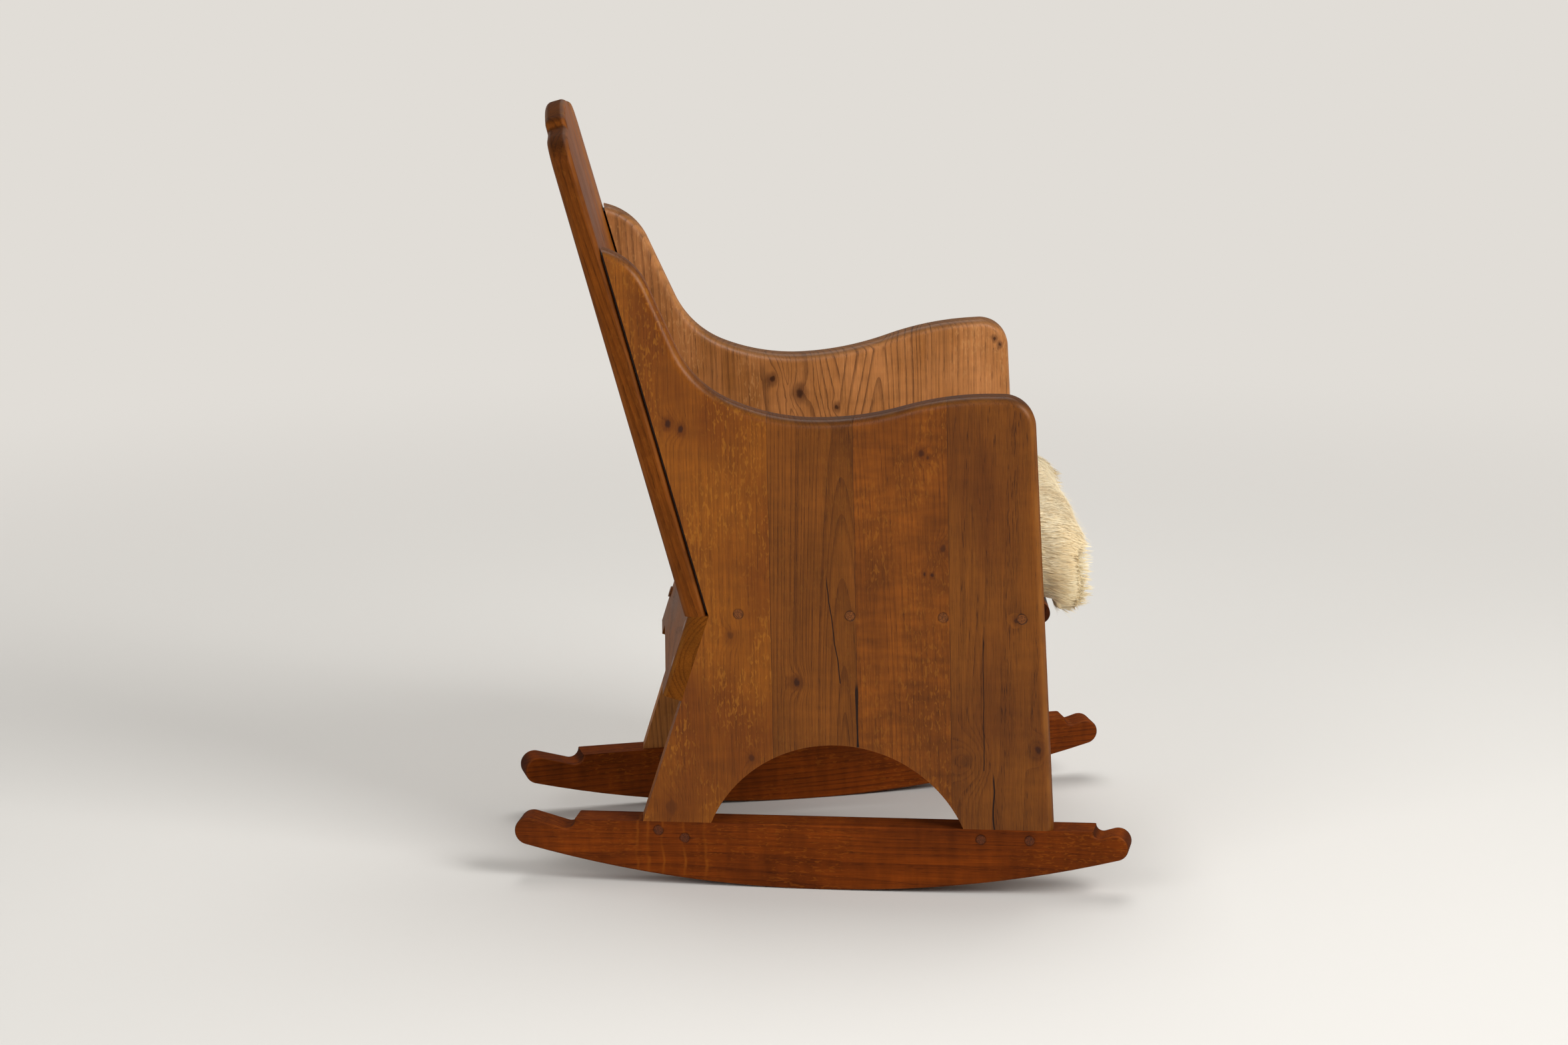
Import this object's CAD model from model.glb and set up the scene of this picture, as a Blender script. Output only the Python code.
import logging
import math
from dataclasses import dataclass, replace
from enum import Enum
from typing import Any

import bpy
import numpy as np
from mathutils import Matrix, Vector, noise


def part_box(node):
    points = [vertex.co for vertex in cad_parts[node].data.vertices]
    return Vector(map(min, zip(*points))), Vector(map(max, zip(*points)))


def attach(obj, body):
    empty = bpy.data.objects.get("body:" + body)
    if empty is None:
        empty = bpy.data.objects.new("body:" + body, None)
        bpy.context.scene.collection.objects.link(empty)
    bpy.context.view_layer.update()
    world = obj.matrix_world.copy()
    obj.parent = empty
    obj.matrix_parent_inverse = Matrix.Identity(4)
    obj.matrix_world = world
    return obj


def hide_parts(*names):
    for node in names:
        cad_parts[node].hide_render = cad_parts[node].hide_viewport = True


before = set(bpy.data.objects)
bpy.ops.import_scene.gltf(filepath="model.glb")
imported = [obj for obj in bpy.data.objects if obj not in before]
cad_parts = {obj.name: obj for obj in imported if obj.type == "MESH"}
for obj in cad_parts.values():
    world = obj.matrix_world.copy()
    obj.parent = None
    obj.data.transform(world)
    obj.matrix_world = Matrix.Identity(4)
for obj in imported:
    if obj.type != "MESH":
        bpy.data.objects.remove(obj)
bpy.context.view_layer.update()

log = logging.getLogger("rocking_armchair")
Vec3 = tuple[float, float, float]
Span = tuple[float, float]

# Blender works in metres, and the sizes below are in millimetres.
MM = 1000.0
# How the chair stands: leaned back a little on its rockers, its sides splayed.
REST_LEAN_DEG = 0.5
REST_LEAN = math.radians(REST_LEAN_DEG)
SPLAY = math.radians(10.64)
STAND_SHIFT_MM = Vector((-3.324, 0.0, 0.02))
STAND_TURN = np.array((
    (math.cos(REST_LEAN), 0.0, -math.sin(REST_LEAN)),
    (0.0, 1.0, 0.0),
    (math.sin(REST_LEAN), 0.0, math.cos(REST_LEAN))))
STAND = Matrix(STAND_TURN.tolist())
# Places in the upright chair: a side's outer face at mid-length, its thickness and its front edge,
# the level of the seat's pegs, and the waist where the back starts to lean.
SIDE_FACE_MM = 229.0
PLANK_MM = 34.0
SIDE_FRONT_MM = 281.0
SEAT_PEG_MM = 347.0
WAIST_MM = (-128.0, 0.0, 343.0)
BACK_LEAN_DEG = 14.7

# The kinds and settings of shader nodes that are used most.
MATH = "ShaderNodeMath"
VECTOR = "ShaderNodeVectorMath"
RANGE = "ShaderNodeMapRange"
MIX = "ShaderNodeMix"
NOISE = "ShaderNodeTexNoise"
COLOUR = {"data_type": "RGBA"}
SMOOTH = {"interpolation_type": "SMOOTHSTEP"}


def linear(shade: str) -> tuple[float, float, float, float]:
    """Turn an sRGB hex colour into the linear one that shaders take.

    Args:
        shade: a colour such as "#7A4A20".

    Returns:
        Linear red, green, blue and an alpha of 1.
    """
    parts = [int(shade[place:place + 2], 16) / 255 for place in (1, 3, 5)]
    curved = [part / 12.92 if part <= 0.04045 else ((part + 0.055) / 1.055) ** 2.4 for part in parts]
    return curved[0], curved[1], curved[2], 1.0


def add(tree: Any, kind: str, settings: dict[str, Any] | str | None = None,
        links: dict[Any, Any] | None = None) -> Any:
    """Add one node to a tree.

    Args:
        tree: the node tree.
        kind: the node's class name.
        settings: its properties by name, or only its operation.
        links: its inputs by name or number, each a node or socket to link or a plain value.

    Returns:
        The new node.
    """
    made = tree.nodes.new(kind)
    if isinstance(settings, str):
        settings = {"operation": settings}
    for name, setting in (settings or {}).items():
        setattr(made, name, setting)
    for key, source in (links or {}).items():
        if isinstance(source, bpy.types.Node):
            source = next(output for output in source.outputs if output.enabled)
        if isinstance(source, bpy.types.NodeSocket):
            tree.links.new(source, made.inputs[key])
        else:
            made.inputs[key].default_value = source
    return made


def fresh_material(name: str) -> Any:
    """Make an empty node material.

    Args:
        name: its name.

    Returns:
        The material, with no nodes yet.
    """
    made = bpy.data.materials.new(name)
    made.use_nodes = True
    made.node_tree.nodes.clear()
    return made


def dress(node_name: str, finish: Any) -> None:
    """Give a wooden piece of the frame its finish.

    Args:
        node_name: the piece's name.
        finish: its material.
    """
    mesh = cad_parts[node_name].data
    mesh.materials.clear()
    mesh.materials.append(finish)
    log.info("dressed %s in %s", node_name, finish.name)


def upright_mm(points: np.ndarray) -> np.ndarray:
    """Turn rows of metres as the chair stands into millimetres in the upright chair."""
    return (points * MM - np.array(STAND_SHIFT_MM)) @ STAND_TURN


def standing_m(points: np.ndarray) -> np.ndarray:
    """Turn rows of millimetres in the upright chair into metres as the chair stands."""
    return (points @ STAND_TURN.T + np.array(STAND_SHIFT_MM)) / MM


def slope(values: np.ndarray, low: float, high: float) -> np.ndarray:
    """Rise evenly from 0 at low to 1 at high."""
    return np.clip((values - low) / (high - low), 0.0, 1.0)


def ramp(values: np.ndarray, low: float, high: float) -> np.ndarray:
    """Rise smoothly from 0 at low to 1 at high."""
    share = slope(values, low, high)
    return share * share * (3.0 - 2.0 * share)


def bell(values: np.ndarray, middle: float, width: float) -> np.ndarray:
    """Fall smoothly from 1 in the middle towards 0 on both sides."""
    return np.exp(-((values - middle) / width) ** 2)


class Side(Enum):
    """The two sides of the chair, from the sitter's seat, with the sign of Y there."""

    RIGHT = -1
    LEFT = 1

    @property
    def label(self) -> str:
        """The side's word in the names of pieces."""
        return self.name.lower()


@dataclass(frozen=True)
class BoardAxes:
    """A board's own axes in the upright chair: across it, through it and along its grain."""

    across: Vec3
    through: Vec3
    along: Vec3
    origin_mm: Vec3 = (0.0, 0.0, 0.0)

    def mapping(self) -> tuple[Any, Vec3]:
        """Work out the turn and shift from Object coordinates to the board's millimetres.

        Returns:
            The Euler turn and the shift in millimetres.
        """
        board = Matrix((self.across, self.through, self.along))
        turn = board @ STAND.transposed()
        shift = -(turn @ STAND_SHIFT_MM) - board @ Vector(self.origin_mm)
        return turn.to_euler("XYZ"), tuple(shift)

    def face_normal(self) -> Vec3:
        """The direction square to the board's face, as the chair stands."""
        return tuple(STAND @ Vector(self.through))

    def grain(self) -> Vec3:
        """The direction of the board's grain, as the chair stands."""
        return tuple(STAND @ Vector(self.along))


@dataclass(frozen=True)
class Knot:
    """A knot: its place across and along the board, its radius and how dark its heart is."""

    across_mm: float
    along_mm: float
    radius_mm: float
    heart_share: float = 0.85


@dataclass(frozen=True)
class Crack:
    """A drying crack or an open stretch of a glued joint, along the grain."""

    across_mm: float
    low_mm: float
    high_mm: float
    width_mm: float = 1.4
    drift_share: float = 0.0


@dataclass(frozen=True)
class PegRim:
    """The dark rim of glue and dirt round the end of a peg."""

    across_mm: float
    along_mm: float
    radius_mm: float = 5.6


@dataclass(frozen=True)
class WaterMark:
    """A pale mark across the grain, left by drips under the varnish."""

    along_mm: float
    width_mm: float


@dataclass(frozen=True)
class OakTones:
    """The shades of one oak board under amber varnish."""

    light: str
    dark: str
    ring: str
    fleck: str
    pore: str
    worn: str


HONEY = OakTones("#854A0D", "#6B3607", "#552804", "#9F631A", "#341803", "#995D19")
UMBER = OakTones("#78420F", "#613409", "#4C2505", "#885619", "#2E1503", "#8C561B")
AMBER = OakTones("#7D420B", "#643307", "#4F2504", "#8F5515", "#311703", "#915919")
SMOKE = OakTones("#73400F", "#5D300A", "#492306", "#815018", "#2C1304", "#8A541C")
ROSE = OakTones("#AE7342", "#8D5829", "#54301A", "#BE8852", "#3D2111", "#A8713C")
RUSSET = OakTones("#6E390E", "#572B09", "#432006", "#7C4917", "#2A1203", "#854B1B")
CHESTNUT = OakTones("#743306", "#582504", "#441A03", "#8A480E", "#280E02", "#84430F")


@dataclass(frozen=True)
class OakBoard:
    """The figure of one oak board.

    The growth rings run round a pith that lies beside the board, so its face shows
    arches where the rings are cut flat and straight lines where they are cut square.
    """

    name: str
    tones: OakTones
    seed: float
    # The pith's place across the board and through it.
    pith_mm: Span
    tilt_deg: Span = (1.0, 0.0)
    ring_mm: float = 7.0
    wander_mm: float = 16.0
    ring_share: float = 0.6
    fleck_share: float = 0.0
    pore_share: float = 0.55
    seams_mm: tuple[float, ...] = ()
    knots: tuple[Knot, ...] = ()
    cracks: tuple[Crack, ...] = ()
    rims: tuple[PegRim, ...] = ()
    marks: tuple[WaterMark, ...] = ()
    ripple_share: float = 0.08
    # Where in each year's growth the dark band starts: a late start draws narrow lines.
    band_start: float = 0.42
    gloss_share: float = 1.0
    # Sawn ends drink more stain, so most are darker than the faces.
    end_shade: float = 0.42


@dataclass(frozen=True)
class Streaks:
    """A pattern of soft random streaks on a board, and the values between which it goes from 0 to 1."""

    size_mm: Vec3
    detail: float
    # Sets the pattern apart from the board's others.
    salt: float
    start: float = 0.0
    full: float = 1.0
    smooth: bool = False
    twist: float = 0.0


class VarnishedOak:
    """Sawn and scraped oak under an old satin varnish.

    To the eye: growth rings in soft darker bands, short dark pores along the grain,
    pale ray flecks on boards cut square to the rings, dark knots, worn pale arrises
    and a soft gloss that wavers with the hand-planed surface.
    """

    ROUGHNESS = 0.35
    DULL_ROUGHNESS = 0.25
    CLOUD_ROUGHNESS = 0.1
    PORE_ROUGHNESS = 0.25
    # Sawn edges hold less varnish than the faces, so they are duller.
    EDGE_ROUGHNESS = 0.4
    COAT_SHARE = 0.04
    COAT_ROUGHNESS = 0.3
    VARNISH_IOR = 1.5
    SHINE_SHARE = 0.14
    KNOT_HEART = "#2B1208"
    LINE_SHADE = "#1C0B05"

    WANDER = Streaks((95.0, 95.0, 420.0), 1.5, 1.0)
    CLOUDS = Streaks((62.0, 62.0, 150.0), 3.0, 2.0, 0.3, 0.7, True)
    BOLDNESS = Streaks((48.0, 48.0, 240.0), 2.0, 3.0, 0.3, 0.7)
    FIBRES = Streaks((1.5, 1.5, 60.0), 3.0, 4.0, 0.25, 0.75)
    FLECKS = Streaks((3.2, 3.2, 9.5), 1.0, 5.0, 0.54, 0.66, True, 0.9)
    FLECK_ZONES = Streaks((55.0, 55.0, 110.0), 1.0, 6.0, 0.36, 0.6, True)
    LINE_WAVER = Streaks((90.0, 90.0, 46.0), 2.0, 7.0)
    # Pores are 0.3 mm wide on oak. They are drawn 1 mm wide, or the render loses them.
    PORES = Streaks((1.0, 1.0, 17.0), 1.0, 8.0, 0.54, 0.7, True)
    RUBBING = Streaks((40.0, 40.0, 60.0), 3.0, 9.0, 0.36, 0.66, True)
    PLANE_MARKS = Streaks((34.0, 34.0, 120.0), 2.0, 10.0)
    KNOT_SHAKE = Streaks((7.0, 7.0, 9.0), 2.0, 11.0)
    RIM_DIRT = Streaks((7.0, 7.0, 7.0), 1.0, 12.0, 0.35, 0.65)
    DRIPS = Streaks((22.0, 22.0, 60.0), 2.0, 13.0)
    RIPPLES = Streaks((46.0, 46.0, 12.0), 2.0, 14.0, 0.3, 0.7)

    # How far the outlines of knots, cracks and drip marks waver, and how far a rim of dirt spreads.
    KNOT_WAVER_MM = 6.0
    CRACK_WAVER_MM = 5.0
    DRIP_WAVER_MM = 12.0
    RIM_SPREAD_MM = 2.2
    # A knot is longer along the grain. It bends the rings far past its own radius.
    KNOT_STRETCH = 1.3
    KNOT_BEND = 2.4
    KNOT_FALL = -0.16
    # Where a knot's halo and heart start and are full, in squared radii, and how dark they get.
    KNOT_RINGS = ((5.5, 0.4, 0.75), (0.95, 0.1, 1.0))
    # How far the rings stray from an even width, in years, and how many changes come in a year.
    YEAR_CHANGE = 2.2
    YEAR_PACE = 0.3
    # Cosines between which a surface counts as worn arris, sawn edge or sawn end: the first three to the
    # board's face, the last to its grain.
    ARRIS_INNER = (0.97, 0.78)
    ARRIS_OUTER = (0.28, 0.55)
    SAWN_EDGE = (0.5, 0.15)
    SAWN_END = (0.25, 0.85)

    def __init__(self, board: OakBoard, axes: BoardAxes) -> None:
        """Start a board's material and lay its own millimetre grid.

        Args:
            board: the board's figure.
            axes: the board's axes.
        """
        self.board = board
        self.axes = axes
        self.material = fresh_material(board.name)
        self.tree = self.material.node_tree
        turn, shift = axes.mapping()
        coords = add(self.tree, "ShaderNodeTexCoord")
        grid = add(self.tree, "ShaderNodeMapping", {}, {
            "Vector": coords.outputs["Object"], "Location": shift, "Rotation": turn, "Scale": (MM, MM, MM)})
        self.place = grid.outputs[0]
        split = add(self.tree, "ShaderNodeSeparateXYZ", {}, {0: self.place})
        self.across = split.outputs[0]
        self.along = split.outputs[2]

    def streaks(self, pattern: Streaks) -> Any:
        """Lay a pattern of streaks over the board.

        Args:
            pattern: the pattern.

        Returns:
            The noise node, with its value and its colour.
        """
        squeezed = add(self.tree, VECTOR, "DIVIDE", {0: self.place, 1: pattern.size_mm})
        return add(self.tree, NOISE, {"noise_dimensions": "4D"}, {
            "Vector": squeezed, "W": self.board.seed + pattern.salt, "Scale": 1.0, "Detail": pattern.detail,
            "Distortion": pattern.twist})

    def patches(self, pattern: Streaks, low: float = 0.0, high: float = 1.0) -> Any:
        """Lay a pattern of streaks and stretch it between two values.

        Args:
            pattern: the pattern, with the values between which it counts.
            low: what it gives where it starts.
            high: what it gives where it is full.

        Returns:
            The node that gives the stretched value.
        """
        return add(self.tree, RANGE, SMOOTH if pattern.smooth else {}, {
            "Value": self.streaks(pattern), "From Min": pattern.start, "From Max": pattern.full,
            "To Min": low, "To Max": high})

    def near_line(self, value: Any, centre: float, outer: float, inner: float) -> Any:
        """Find what lies near a straight line.

        Args:
            value: the measure across the line.
            centre: where the line is.
            outer: the distance at which the share leaves 0.
            inner: the distance at which it reaches 1.

        Returns:
            The node that gives the share.
        """
        off = add(self.tree, MATH, "SUBTRACT", {0: value, 1: centre})
        wide = add(self.tree, MATH, "ABSOLUTE", {0: off})
        return add(self.tree, RANGE, SMOOTH, {"Value": wide, "From Min": outer, "From Max": inner})

    def laid_over(self, below: Any, near: Any, shown: Any) -> Any:
        """Lay a mark over those laid before.

        Args:
            below: how strong those are.
            near: where the new mark is.
            shown: how strong it is there.

        Returns:
            The node that gives the stronger of both.
        """
        mark = add(self.tree, MATH, "MULTIPLY", {0: near, 1: shown})
        return add(self.tree, MATH, "MAXIMUM", {0: below, 1: mark})

    def knot_fields(self) -> tuple[Any, Any, Any]:
        """Lay the board's knots, each with an uneven outline.

        Returns:
            How far they push the rings aside in millimetres, how dark the wood round
            them is, and how dark their hearts are.
        """
        tree = self.tree
        push: Any = 0.0
        dark: list[Any] = [0.0, 0.0]
        waver = self.KNOT_WAVER_MM
        uneven = add(tree, VECTOR, "MULTIPLY_ADD", {
            0: self.streaks(self.KNOT_SHAKE).outputs[1], 1: (waver, 0.0, waver), 2: self.place})
        for knot in self.board.knots:
            centre = (knot.across_mm + waver / 2, 0.0, knot.along_mm + waver / 2)
            spread = (knot.radius_mm, MM, self.KNOT_STRETCH * knot.radius_mm)
            away = add(tree, VECTOR, "SUBTRACT", {0: uneven, 1: centre})
            unit = add(tree, VECTOR, "DIVIDE", {0: away, 1: spread})
            square = add(tree, VECTOR, "DOT_PRODUCT", {0: unit, 1: unit})
            fall = add(tree, MATH, "MULTIPLY", {0: square, 1: self.KNOT_FALL})
            bend = add(tree, MATH, "EXPONENT", {0: fall})
            push = add(tree, MATH, "MULTIPLY_ADD", {0: bend, 1: self.KNOT_BEND * knot.radius_mm, 2: push})
            for number, (start, full, share) in enumerate(self.KNOT_RINGS):
                ring = add(tree, RANGE, SMOOTH, {
                    "Value": square, "From Min": start, "From Max": full, "To Max": share * knot.heart_share})
                dark[number] = add(tree, MATH, "MAXIMUM", {0: dark[number], 1: ring})
        return push, *dark

    def rings(self, push: Any) -> tuple[Any, Any]:
        """Lay the growth rings round the pith.

        Args:
            push: how far knots push the rings aside.

        Returns:
            The soft dark bands, and the narrow bands where the pores crowd.
        """
        board = self.board
        tree = self.tree
        drift = 2 * board.wander_mm
        centred = add(tree, VECTOR, "SUBTRACT", {0: self.streaks(self.WANDER).outputs[1], 1: (0.5, 0.5, 0.5)})
        moved = add(tree, VECTOR, "MULTIPLY_ADD", {0: centred, 1: (drift, drift, 0.0), 2: self.place})
        turned = add(tree, "ShaderNodeMapping", {}, {
            "Vector": moved, "Rotation": (*(math.radians(angle) for angle in board.tilt_deg), 0.0),
            "Location": (-board.pith_mm[0], -board.pith_mm[1], 0.0)})
        flat = add(tree, VECTOR, "MULTIPLY", {0: turned, 1: (1.0, 1.0, 0.0)})
        radius = add(tree, VECTOR, "LENGTH", {0: flat})
        pushed = add(tree, MATH, "ADD", {0: radius, 1: push})
        pace = add(tree, MATH, "MULTIPLY_ADD", {0: pushed, 1: self.YEAR_PACE / board.ring_mm, 2: board.seed})
        uneven = add(tree, NOISE, {"noise_dimensions": "1D"}, {"W": pace, "Scale": 1.0, "Detail": 1.0})
        years = add(tree, MATH, "DIVIDE", {0: pushed, 1: board.ring_mm})
        turns = add(tree, MATH, "MULTIPLY_ADD", {0: uneven, 1: self.YEAR_CHANGE, 2: years})
        year = add(tree, MATH, "FRACT", {0: turns})
        band = add(tree, RANGE, SMOOTH, {"Value": year, "From Min": board.band_start, "From Max": 0.96})
        crowd = add(tree, RANGE, SMOOTH, {"Value": year, "From Min": 0.62, "From Max": 0.9})
        return band, crowd

    def lines(self) -> Any:
        """Draw the glued joints at the board's edges, its cracks and the rims of its pegs.

        Returns:
            How dark they are.
        """
        tree = self.tree
        dark: Any = 0.0
        waver = self.streaks(self.LINE_WAVER)
        for seam in self.board.seams_mm:
            shown = add(tree, RANGE, {}, {
                "Value": waver, "From Min": 0.35, "From Max": 0.65, "To Min": 0.08, "To Max": 0.6})
            dark = self.laid_over(dark, self.near_line(self.across, seam, 0.9, 0.2), shown)
        for crack in self.board.cracks:
            bend = add(tree, MATH, "MULTIPLY_ADD", {0: waver, 1: -self.CRACK_WAVER_MM, 2: self.across})
            leaned = add(tree, MATH, "MULTIPLY_ADD", {0: self.along, 1: -crack.drift_share, 2: bend})
            start = crack.across_mm - self.CRACK_WAVER_MM / 2 - crack.drift_share * crack.low_mm
            near = self.near_line(leaned, start, 0.5 * crack.width_mm + 0.5, 0.3 * crack.width_mm)
            rise = add(tree, RANGE, SMOOTH, {
                "Value": self.along, "From Min": crack.low_mm - 1.0, "From Max": crack.low_mm + 1.0})
            end = add(tree, RANGE, SMOOTH, {
                "Value": self.along, "From Min": crack.high_mm, "From Max": crack.high_mm - 14.0})
            ends = add(tree, MATH, "MULTIPLY", {0: rise, 1: end})
            dark = self.laid_over(dark, near, ends)
        for rim in self.board.rims:
            away = add(tree, VECTOR, "SUBTRACT", {0: self.place, 1: (rim.across_mm, 0.0, rim.along_mm)})
            flat = add(tree, VECTOR, "MULTIPLY", {0: away, 1: (1.0, 0.0, 1.0)})
            reach = add(tree, VECTOR, "LENGTH", {0: flat})
            ring = add(tree, RANGE, SMOOTH, {
                "Value": reach, "From Min": rim.radius_mm + self.RIM_SPREAD_MM, "From Max": rim.radius_mm})
            dark = self.laid_over(dark, ring, self.patches(self.RIM_DIRT, 0.3, 0.9))
        return dark

    def pale_marks(self) -> Any:
        """Draw the pale drip marks across the grain.

        Returns:
            How pale they are.
        """
        pale: Any = 0.0
        waver = self.streaks(self.DRIPS)
        bent = add(self.tree, MATH, "MULTIPLY_ADD", {0: waver, 1: self.DRIP_WAVER_MM, 2: self.along})
        shown = add(self.tree, RANGE, {}, {
            "Value": waver, "From Min": 0.35, "From Max": 0.6, "To Min": 0.5, "To Max": 0.15})
        for mark in self.board.marks:
            near = self.near_line(bent, mark.along_mm + self.DRIP_WAVER_MM / 2, mark.width_mm, 0.0)
            pale = self.laid_over(pale, near, shown)
        return pale

    def turned(self, direction: Vec3, start: float, full: float) -> Any:
        """Measure how the surface is turned to or from a direction.

        Args:
            direction: the direction, as the chair stands.
            start: the cosine at which the share leaves 0.
            full: the cosine at which it reaches 1.

        Returns:
            The node that gives the share.
        """
        shape = add(self.tree, "ShaderNodeNewGeometry")
        facing = add(self.tree, VECTOR, "DOT_PRODUCT", {0: shape.outputs["Normal"], 1: direction})
        square = add(self.tree, MATH, "ABSOLUTE", {0: facing})
        return add(self.tree, RANGE, SMOOTH, {"Value": square, "From Min": start, "From Max": full})

    def worn_arris(self) -> Any:
        """Find the rounded arrises, where hands have rubbed the varnish pale.

        Returns:
            The node that gives how worn the surface is.
        """
        inner = self.turned(self.axes.face_normal(), *self.ARRIS_INNER)
        outer = self.turned(self.axes.face_normal(), *self.ARRIS_OUTER)
        band = add(self.tree, MATH, "MULTIPLY", {0: inner, 1: outer})
        return add(self.tree, MATH, "MULTIPLY", {0: band, 1: self.patches(self.RUBBING, 0.1, 0.55)})

    def figure(self, clouds: Any, band: Any, pores: Any) -> Any:
        """Put the colours of sound wood together: ground, rings, fibres, flecks and pores.

        Args:
            clouds: where the ground is lighter.
            band: where the rings are dark.
            pores: where the pores are.

        Returns:
            The node that gives the colour.
        """
        board = self.board
        tones = board.tones
        tree = self.tree
        ground = add(tree, MIX, COLOUR, {0: clouds, 6: linear(tones.dark), 7: linear(tones.light)})
        bold = self.patches(self.BOLDNESS, 0.35 * board.ring_share, board.ring_share)
        ring_share = add(tree, MATH, "MULTIPLY", {0: band, 1: bold})
        ringed = add(tree, MIX, COLOUR, {0: ring_share, 6: ground, 7: linear(tones.ring)})
        ripples = self.patches(self.RIPPLES, 1.0 - board.ripple_share, 1.0 + board.ripple_share)
        worked = add(tree, MATH, "MULTIPLY", {0: self.patches(self.FIBRES, 0.74, 1.2), 1: ripples})
        fibred = add(tree, VECTOR, "SCALE", {0: ringed, "Scale": worked})
        zones = self.patches(self.FLECK_ZONES, 0.0, board.fleck_share)
        fleck_share = add(tree, MATH, "MULTIPLY", {0: self.patches(self.FLECKS), 1: zones})
        flecked = add(tree, MIX, COLOUR, {0: fleck_share, 6: fibred, 7: linear(tones.fleck)})
        return add(tree, MIX, COLOUR, {0: pores, 6: flecked, 7: linear(tones.pore)})

    def build(self) -> Any:
        """Put the board's colour, gloss and relief together.

        Returns:
            The finished material.
        """
        board = self.board
        tones = board.tones
        tree = self.tree
        push, halo, heart = self.knot_fields()
        band, crowd = self.rings(push)
        lines = self.lines()
        clouds = self.patches(self.CLOUDS)
        crowded = add(tree, RANGE, {}, {
            "Value": crowd, "To Min": 0.3 * board.pore_share, "To Max": board.pore_share})
        pores = add(tree, MATH, "MULTIPLY", {0: self.patches(self.PORES), 1: crowded})
        colour = self.figure(clouds, band, pores)
        layers = ((self.pale_marks(), tones.fleck), (self.worn_arris(), tones.worn), (halo, tones.ring),
                  (heart, self.KNOT_HEART), (lines, self.LINE_SHADE))
        for share, shade in layers:
            colour = add(tree, MIX, COLOUR, {0: share, 6: colour, 7: linear(shade)})
        ends = self.turned(self.axes.grain(), *self.SAWN_END)
        soaked = add(tree, RANGE, {}, {"Value": ends, "To Min": 1.0, "To Max": board.end_shade})
        stained = add(tree, VECTOR, "SCALE", {0: colour, "Scale": soaked})
        rough: Any = self.ROUGHNESS + self.DULL_ROUGHNESS * (1.0 - board.gloss_share)
        edges = self.turned(self.axes.face_normal(), *self.SAWN_EDGE)
        for share, more in ((clouds, self.CLOUD_ROUGHNESS), (pores, self.PORE_ROUGHNESS),
                            (edges, self.EDGE_ROUGHNESS)):
            rough = add(tree, MATH, "MULTIPLY_ADD", {0: share, 1: more, 2: rough})
        planed = add(tree, "ShaderNodeBump", {}, {
            "Strength": 0.5, "Distance": 0.9 / MM, "Height": self.streaks(self.PLANE_MARKS)})
        pits = add(tree, MATH, "MULTIPLY_ADD", {0: lines, 1: 4.0, 2: pores})
        relief = add(tree, "ShaderNodeBump", {"invert": True}, {
            "Strength": 0.6, "Distance": 0.25 / MM, "Height": pits, "Normal": planed})
        varnish = add(tree, "ShaderNodeBsdfPrincipled", {}, {
            "Base Color": stained, "Roughness": rough, "IOR": self.VARNISH_IOR,
            "Specular IOR Level": self.SHINE_SHARE * board.gloss_share,
            "Coat Weight": self.COAT_SHARE * board.gloss_share, "Coat Roughness": self.COAT_ROUGHNESS,
            "Normal": relief})
        add(tree, "ShaderNodeOutputMaterial", {}, {"Surface": varnish})
        return self.material


@dataclass(frozen=True)
class PlainTimber:
    """End grain of pegs, plain hidden dowels and old glue: close specks and a faint fibre."""

    name: str
    light: str
    dark: str
    speck_mm: float
    roughness: float
    shine_share: float = 0.19

    def build(self) -> Any:
        """Put the finish together.

        Returns:
            The finished material.
        """
        made = fresh_material(self.name)
        tree = made.node_tree
        coords = add(tree, "ShaderNodeTexCoord")
        specks = add(tree, NOISE, {}, {
            "Vector": coords.outputs["Object"], "Scale": MM / self.speck_mm, "Detail": 3.0, "Roughness": 0.6})
        share = add(tree, RANGE, {}, {"Value": specks, "From Min": 0.35, "From Max": 0.65})
        shade = add(tree, MIX, COLOUR, {0: share, 6: linear(self.dark), 7: linear(self.light)})
        relief = add(tree, "ShaderNodeBump", {}, {"Strength": 0.4, "Distance": 0.3 / MM, "Height": specks})
        surface = add(tree, "ShaderNodeBsdfPrincipled", {}, {
            "Base Color": shade, "Roughness": self.roughness, "Specular IOR Level": self.shine_share,
            "Normal": relief})
        add(tree, "ShaderNodeOutputMaterial", {}, {"Surface": surface})
        return made


def side_axes(side: Side) -> BoardAxes:
    """Lay a side's axes: along the side from mid-length, through it, and up.

    Args:
        side: which side.

    Returns:
        The axes of its planks.
    """
    sign = side.value
    across = (math.cos(SPLAY), sign * math.sin(SPLAY), 0.0)
    through = (-sign * math.sin(SPLAY), math.cos(SPLAY), 0.0)
    return BoardAxes(across, through, (0.0, 0.0, 1.0), (0.0, sign * SIDE_FACE_MM, 0.0))


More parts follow.
